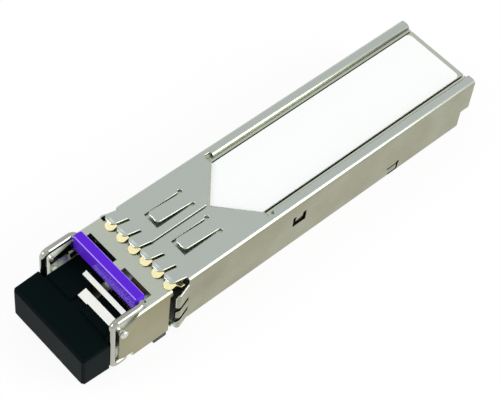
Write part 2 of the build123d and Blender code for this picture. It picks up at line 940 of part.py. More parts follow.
# Receptacle barrel: turned steel tube with a flange that seats on the port's back wall
with BuildPart() as receptacle_barrel:
    flange_front = port_back + port_wall
    with BuildSketch(across(port_back - barrel_reach)):
        with Locations(port_axis):
            Circle(barrel_radius)
    extrude(amount=-(barrel_reach + port_wall + flange_thickness))
    with BuildSketch(across(flange_front)):
        with Locations(port_axis):
            Circle(block_size / 2 - flange_inset)
    extrude(amount=-flange_thickness)
    with BuildSketch(across(port_back - barrel_reach)):
        with Locations(port_axis):
            Circle(ferrule_bore_radius + ferrule_sleeve_wall)
    extrude(amount=-ferrule_sleeve_length, mode=Mode.SUBTRACT)
    chamfer(receptacle_barrel.edges().group_by(Axis.Y)[0].sort_by(SortBy.RADIUS)[-1:], 0.2)

# Split ceramic sleeve that lines up the ferrule
with BuildPart() as ferrule_sleeve:
    with BuildSketch(across(port_back - barrel_reach)):
        with Locations(port_axis):
            Circle(ferrule_bore_radius + ferrule_sleeve_wall)
            Circle(ferrule_bore_radius, mode=Mode.SUBTRACT)
        with Locations((port_x, port_axis_height + ferrule_bore_radius)):
            Rectangle(0.15, 3 * ferrule_sleeve_wall, mode=Mode.SUBTRACT)
    extrude(amount=-ferrule_sleeve_length)

# Optics block with its laser can behind and its detector can to one side
block_front = flange_front + flange_thickness
block_rear = block_front + block_length
with BuildPart() as optics_block:
    with BuildSketch(across(block_front)):
        with Locations(port_axis):
            RectangleRounded(block_size, block_size, 0.4)
    extrude(amount=-block_length)

# Saddle that holds the optics block down from the panel
with BuildPart() as optics_clamp:
    clamp_half = block_size / 2 + slip
    side_box(
        (-tray_inner_half, port_x + clamp_half),
        (block_front + clamp_leg, block_front + clamp_leg + clamp_length),
        (port_axis_height - block_size / 4, panel_underside),
    )
    side_box(
        (port_x - clamp_half, port_x + clamp_half),
        (block_front, block_rear),
        (0, port_axis_height + clamp_half),
        mode=Mode.SUBTRACT,
    )

# A sealed header: cap in front, wider stem and four leads behind
with BuildPart() as header_can:
    can_cap_radius = block_size / 2 - can_rim
    Cylinder(can_cap_radius, can_cap, align=(Align.CENTER, Align.CENTER, Align.MIN))
    with Locations((0, 0, can_cap)):
        Cylinder(block_size / 2, can_stem, align=(Align.CENTER, Align.CENTER, Align.MIN))
    leads_start = can_cap + can_stem
    with BuildSketch(Plane.XY.offset(leads_start)):
        with PolarLocations(lead_circle, 4, start_angle=45):
            RegularPolygon(lead_radius, lead_sides)
    extrude(amount=lead_length)

with BuildPart() as laser_can:
    with Locations(Plane((port_x, block_rear, port_axis_height), z_dir=(0, 1, 0))):
        add(header_can.part)

with BuildPart() as detector_can:
    detector_x = port_x + block_size / 2
    detector_y = block_front + block_length / 2
    with Locations(Plane((detector_x, detector_y, port_axis_height), z_dir=(1, 0, 0))):
        add(header_can.part)

# Flexible circuits: each one takes the leads of its can down and back to the board
with BuildPart() as laser_flex:
    flex_y = block_rear + leads_start + lead_length / 2
    flex_top = port_axis_height + can_cap_radius
    flex_end = board_front + flex_overlap
    with BuildSketch(Plane.YZ.offset(port_x - flex_width / 2)):
        with BuildLine():
            FilletPolyline(
                (flex_y, flex_top),
                (flex_y, board_top),
                (flex_end, board_top),
                radius=flex_bend,
            )
            offset(amount=flex_thickness, side=Side.LEFT)
        make_face()
    extrude(amount=flex_width)
    add(laser_can.part, mode=Mode.SUBTRACT)

with BuildPart() as detector_flex:
    flex_x = detector_x + leads_start + lead_length / 2
    flex_side = board_half - flex_edge_gap
    with BuildSketch(across(detector_y - flex_width / 2)):
        with BuildLine():
            FilletPolyline(
                (flex_x, flex_top),
                (flex_x, board_top),
                (flex_side, board_top),
                radius=flex_bend,
            )
            offset(amount=flex_thickness, side=Side.LEFT)
        make_face()
    extrude(amount=-flex_width)
    side_box(
        (flex_x + flex_bend + flex_thickness, flex_side),
        (detector_y, flex_end),
        (board_top, board_top + flex_thickness),
    )
    add(detector_can.part, mode=Mode.SUBTRACT)

# Circuit board, narrowed to a tongue at the edge connector
with BuildPart() as circuit_board:
    shoulder = board_rear - tongue_length
    with BuildSketch(Plane.XY.offset(board_bottom)):
        with BuildLine():
            Polyline(
                (board_half, board_front),
                (board_half, shoulder),
                (tongue_width / 2, shoulder),
                (tongue_width / 2, board_rear),
                (-tongue_width / 2, board_rear),
                (-tongue_width / 2, shoulder),
                (-board_half, shoulder),
                (-board_half, board_front),
                close=True,
            )
        make_face()
        with Locations(*screw_places):
            Circle(screw_radius + slip, mode=Mode.SUBTRACT)
    extrude(amount=board_thickness)
    tongue_edges = circuit_board.edges().filter_by(Axis.X).group_by(Axis.Y)[-1]
    chamfer(tongue_edges, 0.25)

# Gold contacts on both faces of the tongue
with BuildPart() as edge_contacts:
    contact_y = board_rear - contact_setback - contact_length / 2
    for z in (board_top, board_bottom - contact_thickness):
        with BuildSketch(Plane.XY.offset(z)):
            with Locations((0, contact_y)):
                with GridLocations(contact_pitch, 1, contacts_per_side, 1):
                    Rectangle(contact_width, contact_length)
        extrude(amount=contact_thickness)

# Leadless chips on the board, the memory on its underside
with BuildPart() as laser_driver_chip:
    with Locations((driver_place[0], driver_place[1], board_top + chip_height / 2)):
        Box(driver_size, driver_size, chip_height)
    chamfer(laser_driver_chip.edges().group_by(Axis.Z)[-1], chip_chamfer)

with BuildPart() as amplifier_chip:
    with Locations((amplifier_place[0], amplifier_place[1], board_top + chip_height / 2)):
        Box(amplifier_size, amplifier_size, chip_height)
    chamfer(amplifier_chip.edges().group_by(Axis.Z)[-1], chip_chamfer)

with BuildPart() as controller_chip:
    with Locations((controller_place[0], controller_place[1], board_top + chip_height / 2)):
        Box(controller_size, controller_size, chip_height)
    chamfer(controller_chip.edges().group_by(Axis.Z)[-1], chip_chamfer)

with BuildPart() as memory_chip:
    with Locations((memory_place[0], memory_place[1], board_bottom - chip_height / 2)):
        Box(memory_size, memory_size, chip_height)
    chamfer(memory_chip.edges().group_by(Axis.Z)[0], chip_chamfer)

with BuildPart() as chip_capacitors:
    with BuildSketch(Plane.XY.offset(board_top)):
        with Locations((0, front_row_y)):
            with GridLocations(capacitor_pitch, 1, 7, 1):
                Rectangle(capacitor_width, capacitor_length)
        with Locations((-capacitor_pitch / 2, rear_row_y)):
            with GridLocations(capacitor_pitch, 1.6 * capacitor_length, 6, 2):
                Rectangle(capacitor_width, capacitor_length)
    extrude(amount=capacitor_height)

with BuildPart() as ferrite_beads:
    with BuildSketch(Plane.XY.offset(board_top)):
        with Locations(*bead_places):
            with GridLocations(1, bead_pitch, 1, 2):
                Rectangle(bead_length, bead_width)
    extrude(amount=2 * capacitor_height)

# Screws that come up through the board into the bosses of the housing
with BuildPart() as board_screws:
    for x, y in screw_places:
        with BuildSketch(Plane.XY.offset(board_bottom - screw_head_height)):
            with Locations((x, y)):
                Circle(screw_head_radius)
        extrude(amount=screw_head_height)
        with BuildSketch(Plane.XY.offset(board_bottom)):
            with Locations((x, y)):
                Circle(screw_radius - slip)
        extrude(amount=screw_length)

# Soft pad that takes the controller's heat to the panel
with BuildPart() as thermal_pad:
    side_box(
        (controller_place[0] - pad_size / 2, controller_place[0] + pad_size / 2),
        (controller_place[1] - pad_size / 2, controller_place[1] + pad_size / 2),
        (board_top + chip_height, panel_underside),
    )

# Bare label in the recess, its point following the chevron
with BuildPart() as label_sheet:
    label_half_width = v_half_width - label_side_gap
    with BuildSketch(Plane.XY.offset(panel_height)) as label_outline:
        with BuildLine():
            Polyline(
                (0, v_apex + label_apex_gap),
                (label_half_width, v_end + label_apex_gap / 2),
                (label_half_width, cage_length - label_rear_gap),
                (-label_half_width, cage_length - label_rear_gap),
                (-label_half_width, v_end + label_apex_gap / 2),
                close=True,
            )
        make_face()
        corners = label_outline.vertices().group_by(Axis.Y)
        fillet(corners[-1], label_corner)
        fillet(corners[0], label_corner)
    extrude(amount=label_thickness)

pieces = {
    "cover_shell": cover_shell,
    "base_housing": base_housing,
    "bail_wire": bail_wire,
    "bail_grip": bail_grip,
    "bail_stop_pins": bail_stop_pins,
    "bail_detent_spring": bail_detent_spring,
    "latch_lever": latch_lever,
    "latch_pivot_pin": latch_pivot_pin,
    "latch_leaf_spring": latch_leaf_spring,
    "emi_spring_strip": emi_spring_strip,
    "dust_plug": dust_plug,
    "receptacle_barrel": receptacle_barrel,
    "ferrule_sleeve": ferrule_sleeve,
    "optics_block": optics_block,
    "optics_clamp": optics_clamp,
    "laser_can": laser_can,
    "detector_can": detector_can,
    "laser_flex": laser_flex,
    "detector_flex": detector_flex,
    "circuit_board": circuit_board,
    "edge_contacts": edge_contacts,
    "laser_driver_chip": laser_driver_chip,
    "amplifier_chip": amplifier_chip,
    "controller_chip": controller_chip,
    "memory_chip": memory_chip,
    "chip_capacitors": chip_capacitors,
    "ferrite_beads": ferrite_beads,
    "board_screws": board_screws,
    "thermal_pad": thermal_pad,
    "label_sheet": label_sheet,
}
for node, piece in pieces.items():
    piece.part.label = node
    export_step(piece.part, f"parts/{node}.step")
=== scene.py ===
import json
import math

import bmesh
import bpy
from mathutils import Matrix, Vector


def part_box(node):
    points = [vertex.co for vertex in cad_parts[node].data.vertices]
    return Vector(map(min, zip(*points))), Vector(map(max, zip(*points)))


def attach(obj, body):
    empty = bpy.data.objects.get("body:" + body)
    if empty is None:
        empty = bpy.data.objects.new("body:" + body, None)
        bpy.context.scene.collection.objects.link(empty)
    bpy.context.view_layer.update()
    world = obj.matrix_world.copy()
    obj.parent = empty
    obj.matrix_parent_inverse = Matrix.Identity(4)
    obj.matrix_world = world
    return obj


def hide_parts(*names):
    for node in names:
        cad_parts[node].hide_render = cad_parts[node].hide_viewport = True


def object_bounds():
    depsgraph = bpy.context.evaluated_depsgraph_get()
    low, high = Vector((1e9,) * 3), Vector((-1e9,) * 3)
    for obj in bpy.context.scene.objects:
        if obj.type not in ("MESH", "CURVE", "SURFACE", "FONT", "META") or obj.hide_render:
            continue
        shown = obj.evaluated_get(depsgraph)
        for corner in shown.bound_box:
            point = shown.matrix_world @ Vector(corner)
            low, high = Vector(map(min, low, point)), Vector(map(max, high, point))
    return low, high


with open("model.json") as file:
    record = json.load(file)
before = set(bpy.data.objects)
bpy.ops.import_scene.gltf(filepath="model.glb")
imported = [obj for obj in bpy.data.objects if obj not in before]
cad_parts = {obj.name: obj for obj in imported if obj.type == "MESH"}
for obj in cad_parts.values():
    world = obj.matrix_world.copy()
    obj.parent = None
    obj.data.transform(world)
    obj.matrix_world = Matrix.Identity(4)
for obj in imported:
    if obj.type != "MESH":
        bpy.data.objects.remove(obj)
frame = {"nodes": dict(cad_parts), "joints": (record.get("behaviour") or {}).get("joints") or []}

cad_low, cad_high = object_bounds()

# Housing: one zinc die casting with the nose in front and the tray behind it. It is
# tumbled and nickel plated, so its edges are eased and its skin is satin, with the
# faint orange peel of the mould.
MM = 0.001


def linear(hex_colour):
    """The linear colour of an sRGB hex value."""
    parts = [int(hex_colour[i:i + 2], 16) / 255 for i in (1, 3, 5)]
    return [c / 12.92 if c <= 0.04045 else ((c + 0.055) / 1.055) ** 2.4 for c in parts] + [1.0]


def add_node(tree, kind, settings=None, links=None):
    """Adds a node. A setting is a property of the node or one of its sockets."""
    node = tree.nodes.new(kind)
    for name, value in (settings or {}).items():
        if isinstance(name, str) and hasattr(node, name):
            setattr(node, name, value)
        else:
            node.inputs[name].default_value = value
    for name, source in (links or {}).items():
        tree.links.new(source, node.inputs[name])
    return node


def finish(
    name,
    pale,
    deep,
    roughness,
    grain_mm,
    metal=False,
    stretch=(1, 1, 1),
    bump=0.1,
    side_shade=None,
    specular=0.5,
):
    """A skin that runs between two colours over a fine grain and over blotches, and roughens where it is
    deep. A grain finer than grain_mm wouldn't show, so it is drawn that coarse. Where two side colours are
    given, faces turned to the sides take them on, mottled by the blotches: painted shade that makes the
    sides darker and yellower."""
    blotch_mm = 6
    roughness_spread = 0.08
    material = bpy.data.materials.new(name)
    material.use_nodes = True
    tree = material.node_tree
    shader = tree.nodes["Principled BSDF"]
    shader.inputs["Metallic"].default_value = float(metal)
    shader.inputs["Specular IOR Level"].default_value = specular
    place = add_node(tree, "ShaderNodeTexCoord")
    laid = add_node(tree, "ShaderNodeMapping", {"Scale": stretch}, {"Vector": place.outputs["Object"]})
    grain = add_node(
        tree,
        "ShaderNodeTexNoise",
        {"Scale": 1 / (2 * grain_mm * MM), "Detail": 4.0, "Roughness": 0.55},
        {"Vector": laid.outputs["Vector"]},
    )
    blotch = add_node(
        tree,
        "ShaderNodeTexNoise",
        {"Scale": 1 / (blotch_mm * MM), "Detail": 3.0},
        {"Vector": place.outputs["Object"]},
    )
    half_blotch = add_node(
        tree,
        "ShaderNodeMath",
        {"operation": "MULTIPLY", 1: 0.5},
        {0: blotch.outputs["Fac"]},
    )
    tone = add_node(
        tree,
        "ShaderNodeMath",
        {"operation": "MULTIPLY_ADD", 1: 0.5},
        {0: grain.outputs["Fac"], 2: half_blotch.outputs[0]},
    )
    colour = add_node(
        tree,
        "ShaderNodeMix",
        {"data_type": "RGBA", 6: linear(deep), 7: linear(pale)},
        {0: tone.outputs[0]},
    )
    rough = add_node(
        tree,
        "ShaderNodeMapRange",
        {
            "From Min": 0.3,
            "From Max": 0.7,
            "To Min": roughness + roughness_spread / 2,
            "To Max": roughness - roughness_spread / 2,
        },
        {"Value": tone.outputs[0]},
    )
    relief = add_node(
        tree,
        "ShaderNodeBump",
        {"Strength": bump, "Distance": grain_mm * MM / 4},
        {"Height": grain.outputs["Fac"]},
    )
    skin = colour.outputs[2]
    # Painted shade: faces turned to the sides take darker, yellower colours
    if side_shade:
        facing = add_node(tree, "ShaderNodeNewGeometry")
        split = add_node(tree, "ShaderNodeSeparateXYZ", {}, {"Vector": facing.outputs["Normal"]})
        sideways = add_node(tree, "ShaderNodeMath", {"operation": "ABSOLUTE"}, {0: split.outputs["X"]})
        share = add_node(
            tree,
            "ShaderNodeMapRange",
            {"From Min": 0.6, "From Max": 0.95, "interpolation_type": "SMOOTHSTEP"},
            {"Value": sideways.outputs[0]},
        )
        mottled_side_shade = add_node(
            tree,
            "ShaderNodeMix",
            {"data_type": "RGBA", 6: linear(side_shade[0]), 7: linear(side_shade[1])},
            {0: blotch.outputs["Fac"]},
        )
        side_shaded = add_node(
            tree,
            "ShaderNodeMix",
            {"data_type": "RGBA"},
            {0: share.outputs["Result"], 6: skin, 7: mottled_side_shade.outputs[2]},
        )
        skin = side_shaded.outputs[2]
    tree.links.new(skin, shader.inputs["Base Color"])
    tree.links.new(rough.outputs[0], shader.inputs["Roughness"])
    tree.links.new(relief.outputs[0], shader.inputs["Normal"])
    return material


def whole_faces(source):
    """A copy of a mesh with its loose triangles joined into flat faces."""
    same_point = 0.0004 * MM
    same_plane = math.radians(0.5)
    shape = bmesh.new()
    shape.from_mesh(source)
    bmesh.ops.remove_doubles(shape, verts=shape.verts, dist=same_point)
    bmesh.ops.dissolve_limit(shape, angle_limit=same_plane, verts=shape.verts, edges=shape.edges)
    mesh = bpy.data.meshes.new("whole_faces")
    shape.to_mesh(mesh)
    shape.free()
    return mesh


def milled(mesh, low, high, tilt=0.0, operation="DIFFERENCE"):
    """The mesh after a block is cut from it or joined to it. The block's corners are in
    millimetres, and it is tilted in degrees about its lower rear edge."""
    low, high = Vector(low) * MM, Vector(high) * MM
    shape = bmesh.new()
    made = bmesh.ops.create_cube(shape, size=1)["verts"]
    bmesh.ops.scale(shape, verts=made, vec=high - low)
    bmesh.ops.translate(shape, verts=made, vec=(low + high) / 2)
    turn = Matrix.Rotation(math.radians(tilt), 3, "X")
    bmesh.ops.rotate(shape, verts=made, cent=(0, high.y, low.z), matrix=turn)
    block = bpy.data.meshes.new("block")
    shape.to_mesh(block)
    shape.free()
    cutter = bpy.data.objects.new("cutter", block)
    stock = bpy.data.objects.new("stock", mesh)
    for part in (cutter, stock):
        bpy.context.scene.collection.objects.link(part)
    step = stock.modifiers.new("milled", "BOOLEAN")
    step.object = cutter
    step.operation = operation
    step.solver = "EXACT"
    graph = bpy.context.evaluated_depsgraph_get()
    result = bpy.data.meshes.new_from_object(stock.evaluated_get(graph))
    for part in (cutter, stock):
        bpy.data.objects.remove(part)
    return whole_faces(result)


def eased(node, name, body, material, ease_mm, sharp=32, mesh=None, only=None):
    """The piece with its edges eased, in place of its plain solid. Only, where given, says
    of an edge's middle whether that edge is one to ease, and lets them run to full width."""
    mesh = mesh or whole_faces(frame["nodes"][node].data)
    if only:
        shape = bmesh.new()
        shape.from_mesh(mesh)
        weight = shape.edges.layers.float.new("bevel_weight_edge")
        for edge in shape.edges:
            middle = (edge.verts[0].co + edge.verts[1].co) / 2
            if edge.calc_face_angle(0) > math.radians(sharp) and only(middle):
                edge[weight] = 1.0
        shape.to_mesh(mesh)
        shape.free()
    mesh.name = name
    mesh.shade_smooth()
    piece = bpy.data.objects.new(name, mesh)
    bpy.context.scene.collection.objects.link(piece)
    mesh.materials.clear()
    mesh.materials.append(material)
    edge = piece.modifiers.new("eased edges", "BEVEL")
    edge.width = ease_mm * MM
    edge.segments = 2
    edge.limit_method = "WEIGHT" if only else "ANGLE"
    edge.angle_limit = math.radians(sharp)
    edge.use_clamp_overlap = not only
    flat = piece.modifiers.new("flat faces", "WEIGHTED_NORMAL")
    flat.weight = 80
    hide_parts(node)
    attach(piece, body)


def refinish(mesh, material, chosen):
    """Gives a second finish to the faces chosen by their middle, in millimetres, and normal."""
    mesh.materials.append(material)
    for face in mesh.polygons:
        if chosen(face.center / MM, face.normal):
            face.material_index = len(mesh.materials) - 1


# Nickel over zinc: a pale warm grey mirror with a soft blur, with its side faces painted darker and
# yellower as painted shade
plated_zinc = finish(
    "nickel_plated_zinc",
    "#CFD4C6",
    "#BFC5B8",
    roughness=0.3,
    grain_mm=0.35,
    metal=True,
    bump=0.06,
    side_shade=("#857F5A", "#A5A284"),
)
nose = whole_faces(frame["nodes"]["base_housing"].data)
# The trimming cuts leave a slot under the grip, end the bar in front of it beside the left
# port, and slope the window's two rims forwards. The sizes of the cuts are in millimetres
cut_half, cut_top = 5.8, 7.2
slot_rear, slot_floor = -5.95, 5.6
bridge_top, rim_cut_top = 6.7, 7.4
front_rim = {"front": -11.4, "rear": -9.35, "tilt": 15}
rear_rim = {"front": -9.3, "rear": -7.8, "tilt": 20}
rear_bar_left, lip_front, lip_floor = -2.74, -8.0, 6.0
overlap = 0.05
nose = milled(nose, (-cut_half, rear_rim["rear"], slot_floor), (cut_half, slot_rear, cut_top))
nose = milled(
    nose,
    (-cut_half, lip_front, lip_floor),
    (rear_bar_left, rear_rim["rear"] + overlap, cut_top),
)
for rim in (rear_rim, front_rim):
    nose = milled(
        nose,
        (-cut_half, rim["front"], bridge_top),
        (cut_half, rim["rear"], rim_cut_top),
        tilt=rim["tilt"],
    )
# A deep groove runs down both sides of the neck, and on top the deck runs on between the
# spring tongues to the fingers' tips
groove_inner, past_nose = 5.25, 7.85
neck_front, neck_rear, neck_bottom, neck_top = -3.0, -2.55, -0.2, 7.65
run_on_half, run_on_front, run_on_rear = 5.95, -2.7, -2.0
run_on_bottom, run_on_top = 7.5, 8.42
for low_x, high_x in ((-past_nose, -groove_inner), (groove_inner, past_nose)):
    nose = milled(nose, (low_x, neck_front, neck_bottom), (high_x, neck_rear, neck_top))
nose = milled(
    nose,
    (-run_on_half, run_on_front, run_on_bottom),
    (run_on_half, run_on_rear, run_on_top),
    operation="UNION",
)
# A land fills the recess between each rail and the narrow groove along the label, and the
# groove is cut deep enough to stay black
recess_half, recess_front = 5.7, 13.7
label_half, left_groove_outer, right_groove_outer = 4.75, 4.92, 4.98
land_rear, land_bottom, land_top = 48.99, 7.2, 7.9
groove_rear, groove_bottom, groove_top = 49.5, 7.15, 8.2
lands = ((-recess_half, -left_groove_outer), (right_groove_outer, recess_half))
grooves = ((-left_groove_outer, -label_half), (label_half, right_groove_outer))
for low_x, high_x in lands:
    nose = milled(
        nose,
        (low_x, recess_front, land_bottom),
        (high_x, land_rear, land_top),
        operation="UNION",
    )
for low_x, high_x in grooves:
    nose = milled(nose, (low_x, recess_front, groove_bottom), (high_x, groove_rear, groove_top))
eased(
    "base_housing",
    "die_cast_housing",
    "module",
    plated_zinc,
    ease_mm=0.07,
    mesh=nose,
)
# Trimming bares bright metal on the sloped rims, whose near-white colour is also a painted highlight for
# the bright reflection they show. The punch leaves the side plates shiny behind the grip, and the neck's
# grooves are painted near-black, a painted shade for the deep grooves.
cut_zinc_and_highlight = finish(
    "cut_zinc_and_highlight", "#FBFBF6", "#F0F0EA", roughness=0.42, grain_mm=0.12, metal=True
)
polished_zinc = finish(
    "polished_zinc", "#CFD4C6", "#BFC5B8", roughness=0.1, grain_mm=0.35, metal=True, bump=0.02
)
groove_shade_zinc = finish("groove_painted_shade", "#35342C", "#26251F", roughness=0.6, grain_mm=0.3, metal=True)
plate_inside = {"x": (0.0, 6.0), "y": (-11.0, -5.8), "z": (6.3, 9.0)}
neck_groove = {"x": (4.9, 6.05), "y": (-3.01, 0.02), "z": (0.2, 7.6)}


def within(middle, room):
    """Whether a middle lies in a room that is given on one side and mirrored to the other."""
    places = (abs(middle.x), middle.y, middle.z)
    return all(low < place < high for place, (low, high) in zip(places, room.values()))


def on_sloped_rim(middle, normal):
    """Faces of the two tilted cuts, which look up and a little forwards."""
    return normal.z > 0.85 and normal.y < -0.2 and middle.z < bridge_top + overlap


def on_plate_inside(middle, normal):
    """Inner faces of the side plates, behind the grip."""
    return within(middle, plate_inside) and abs(normal.x) > 0.95


def in_neck_groove(middle, normal):
    """Faces of the two grooves down the sides of the neck."""
    return within(middle, neck_groove)


# The sloped rims take the near-white painted highlight
refinish(nose, cut_zinc_and_highlight, on_sloped_rim)
refinish(nose, polished_zinc, on_plate_inside)
# The neck grooves take a near-black painted shade
refinish(nose, groove_shade_zinc, in_neck_groove)

# Optics behind the port: a steel receptacle with a split zirconia sleeve, a machined
# block, and two sealed headers whose leads go into flexible circuits. Turning leaves
# fine rings on the steel. The saddle over the block is cast like the housing.
turned_steel = finish(
    "turned_steel",
    "#C9C8C2",
    "#B2B1AB",
    roughness=0.24,
    grain_mm=0.08,
    metal=True,
    stretch=(1, 8, 1),
)
# Polished zirconia is a glossy warm white, and polyimide film is a glossy amber
polished_zirconia = finish(
    "polished_zirconia", "#F2EDE2", "#E9E2D4", roughness=0.18, grain_mm=0.2, bump=0.01
)
polyimide = finish("polyimide_film", "#C07A26", "#A5621A", roughness=0.34, grain_mm=0.5, bump=0.02)
eased(
    "receptacle_barrel", "turned_receptacle", "module", turned_steel, ease_mm=0.05
)
eased(
    "ferrule_sleeve", "split_ferrule_sleeve", "module", polished_zirconia, ease_mm=0.02
)
eased("optics_block", "machined_optics_block", "module", turned_steel, ease_mm=0.06)
eased("optics_clamp", "optics_saddle", "module", plated_zinc, ease_mm=0.04)
for source in ("laser", "detector"):
    eased(source + "_can", source + "_header", "module", turned_steel, ease_mm=0.04)
for source in ("laser", "detector"):
    eased(
        source + "_flex",
        source + "_flexible_circuit",
        "module",
        polyimide,
        ease_mm=0.01,
    )

# Circuit board: glass and epoxy laminate under a green solder mask, with gold plated
# contacts on its tongue, chips moulded in black epoxy, sintered capacitors and beads,
# and a soft pad that carries the controller's heat to the housing.
solder_mask = finish(
    "green_solder_mask", "#1E7A4B", "#125C37", roughness=0.26, grain_mm=0.6, bump=0.04
)
gold_plate = finish(
    "hard_gold_plate", "#E9C36B", "#DDB055", roughness=0.2, grain_mm=0.2, metal=True, bump=0.02
)
# The epoxy, the ceramics and the pad are matte beside the glossy mask and gold
moulded_epoxy = finish("moulded_epoxy", "#232325", "#171719", roughness=0.5, grain_mm=0.12)
sintered_ceramic = finish("sintered_ceramic", "#9A7A55", "#836545", roughness=0.42, grain_mm=0.15)
pressed_ferrite = finish("pressed_ferrite", "#3D3D40", "#2E2E31", roughness=0.45, grain_mm=0.15)
gap_filler = finish("silicone_gap_filler", "#9AA5B4", "#8793A3", roughness=0.7, grain_mm=0.3)
# Polished screws are bright mirrors
screw_steel = finish(
    "polished_steel", "#DAD9D3", "#C6C5BF", roughness=0.16, grain_mm=0.12, metal=True, bump=0.02
)
eased("circuit_board", "laminate_board", "module", solder_mask, ease_mm=0.03)
eased("edge_contacts", "gold_edge_contacts", "module", gold_plate, ease_mm=0.01)
for chip in ("laser_driver_chip", "amplifier_chip", "controller_chip", "memory_chip"):
    eased(chip, "moulded_" + chip, "module", moulded_epoxy, ease_mm=0.03)
eased(
    "chip_capacitors",
    "sintered_capacitors",
    "module",
    sintered_ceramic,
    ease_mm=0.03,
)
eased("ferrite_beads", "pressed_ferrite_beads", "module", pressed_ferrite, ease_mm=0.04)
eased("thermal_pad", "soft_thermal_pad", "module", gap_filler, ease_mm=0.15)
eased("board_screws", "flat_head_screws", "module", screw_steel, ease_mm=0.04)

# Cover: one blank of thin stainless sheet, stamped and folded round the housing, with its two flaps
# meeting on top at a seam. Rolling leaves fine lines along its length, and its side faces are painted a
# little darker and yellower as painted shade.
rolled_stainless = finish(
    "rolled_stainless_sheet",
    "#C9CFC9",
    "#BCC3BC",
    roughness=0.27,
    grain_mm=0.07,
    metal=True,
    stretch=(1, 0.06, 1),
    bump=0.04,
    side_shade=("#838163", "#ABAC97"),
)
blank = whole_faces(frame["nodes"]["cover_shell"].data)
roof, rails_front = 8.5 * MM, 14.0 * MM
fold_inner, fold_small, fold_wide = 5.35 * MM, 0.24 * MM, 0.5 * MM
fold_tolerance = 0.02 * MM
lance_middle, lance_half, wall_inner = 18 * MM, 0.8 * MM, 6.2 * MM
lance_foot, lance_bend, lance_top = 4.4 * MM, 5.4 * MM, 6.0 * MM
lance_narrowing, lance_press = 0.85, 0.06 * MM
for vertex in blank.vertices:
    x, y, z = vertex.co
    across = fold_inner + fold_small - abs(x)
    upward = z - (roof - fold_small)
    on_fold = abs(math.hypot(across, upward) - fold_small) < fold_tolerance
    if y > rails_front and min(across, upward) > -fold_tolerance / 2 and on_fold:
        # The rail's inner edge is rolled over wider than the plain fold
        wider = fold_wide / fold_small
        vertex.co.x = math.copysign(fold_inner + fold_wide - across * wider, x)
        vertex.co.z = roof - fold_wide + upward * wider
    if abs(y - lance_middle) < lance_half and lance_foot < z < lance_top and abs(x) > wall_inner:
        # The hanging tab of the front lance is narrowed, and pressed in at its free end
        vertex.co.y = lance_middle + lance_narrowing * (y - lance_middle)
        if z < lance_bend:
            vertex.co.x -= math.copysign(lance_press, x)
# The slots between the side fingers are opened wide, and so is the foot of the rear lance.
# The sizes of these cuts are in millimetres
wall_near, wall_far = 6.3, 7.9
slot_front, slot_end, slot_opening = -2.6, 0.0, 0.5
slot_places = (2.1, 4.25)
foot_front, foot_rear, foot_low, foot_high = 34.3, 35.6, 0.5, 0.85
for low_x, high_x in ((-wall_far, -wall_near), (wall_near, wall_far)):
    for slot_z in slot_places:
        blank = milled(blank, (low_x, slot_front, slot_z), (high_x, slot_end, slot_z + slot_opening))
    blank = milled(blank, (low_x, foot_front, foot_low), (high_x, foot_rear, foot_high))
wall = (wall_near, wall_far)
wall_openings = (
    {"x": wall, "y": (-2.7, 0.1), "z": (1.9, 5.0)},
    {"x": wall, "y": (16.8, 19.2), "z": (4.0, 6.0)},
    {"x": wall, "y": (33.9, 36.2), "z": (0.32, 2.3)},
)
fingers_rear, top_from, tips_rear = 14.2 * MM, 7.6 * MM, 0.3 * MM


def among_fingers(place):
    """Edges of the spring fingers and the tabs behind them, which the stamping rounds."""
    return place.y < fingers_rear and (place.z > top_from or place.y < tips_rear)


def inside_wall_opening(middle, normal):
    """Faces of the sheet's own thickness, inside a lance or a slot of the walls."""
    return abs(normal.x) < 0.5 and any(within(middle, opening) for opening in wall_openings)


eased(
    "cover_shell",
    "folded_cover",
    "module",
    rolled_stainless,
    ease_mm=0.1,
    mesh=blank,
    only=among_fingers,
)
# The sheet's own edges inside the lances and side slots are painted near-black, a painted shade for the
# narrow slots
slot_shade_stainless = finish(
    "slot_painted_shade_edge", "#201F1A", "#14130F", roughness=0.7, grain_mm=0.1, metal=True
)
refinish(blank, slot_shade_stainless, inside_wall_opening)

# Inner spring strip: thin beryllium copper, stamped with round tongues that press on
# the cage between the fingers, and left a pale gold.
spring_copper = finish(
    "beryllium_copper", "#F6EEC2", "#EADFA8", roughness=0.3, grain_mm=0.15, metal=True, bump=0.03
)
strip = whole_faces(frame["nodes"]["emi_spring_strip"].data)
tongues_above = 8.3 * MM
tongue_tip_y, tongue_knee_y = -3.1 * MM, -1.95 * MM
tongue_lift = 0.33 * MM
for vertex in strip.vertices:
    if vertex.co.z > tongues_above:
        along = (vertex.co.y - tongue_tip_y) / (tongue_knee_y - tongue_tip_y)
        vertex.co.z += tongue_lift * min(max(along, 0.0), 1.0)
eased(
    "emi_spring_strip",
    "stamped_spring_strip",
    "module",
    spring_copper,
    ease_mm=0.03,
    mesh=strip,
)

# Latch: a black nylon lever under the nose, swung on a ground pin, with a leaf of
# spring bronze over its arm. The bail's cranks hold its front up.
black_nylon = finish("black_moulded_nylon", "#1B1B1B", "#111111", roughness=0.5, grain_mm=0.15)
spring_bronze = finish(
    "spring_bronze",
    "#AFA188",
    "#9C8D74",
    roughness=0.28,
    grain_mm=0.12,
    metal=True,
    stretch=(1, 0.2, 1),
)
eased("latch_lever", "moulded_latch_lever", "lever", black_nylon, ease_mm=0.08)
eased("latch_pivot_pin", "ground_pivot_pin", "module", screw_steel, ease_mm=0.03)
eased(
    "latch_leaf_spring",
    "bronze_leaf_spring",
    "module",
    spring_bronze,
    ease_mm=0.02,
)

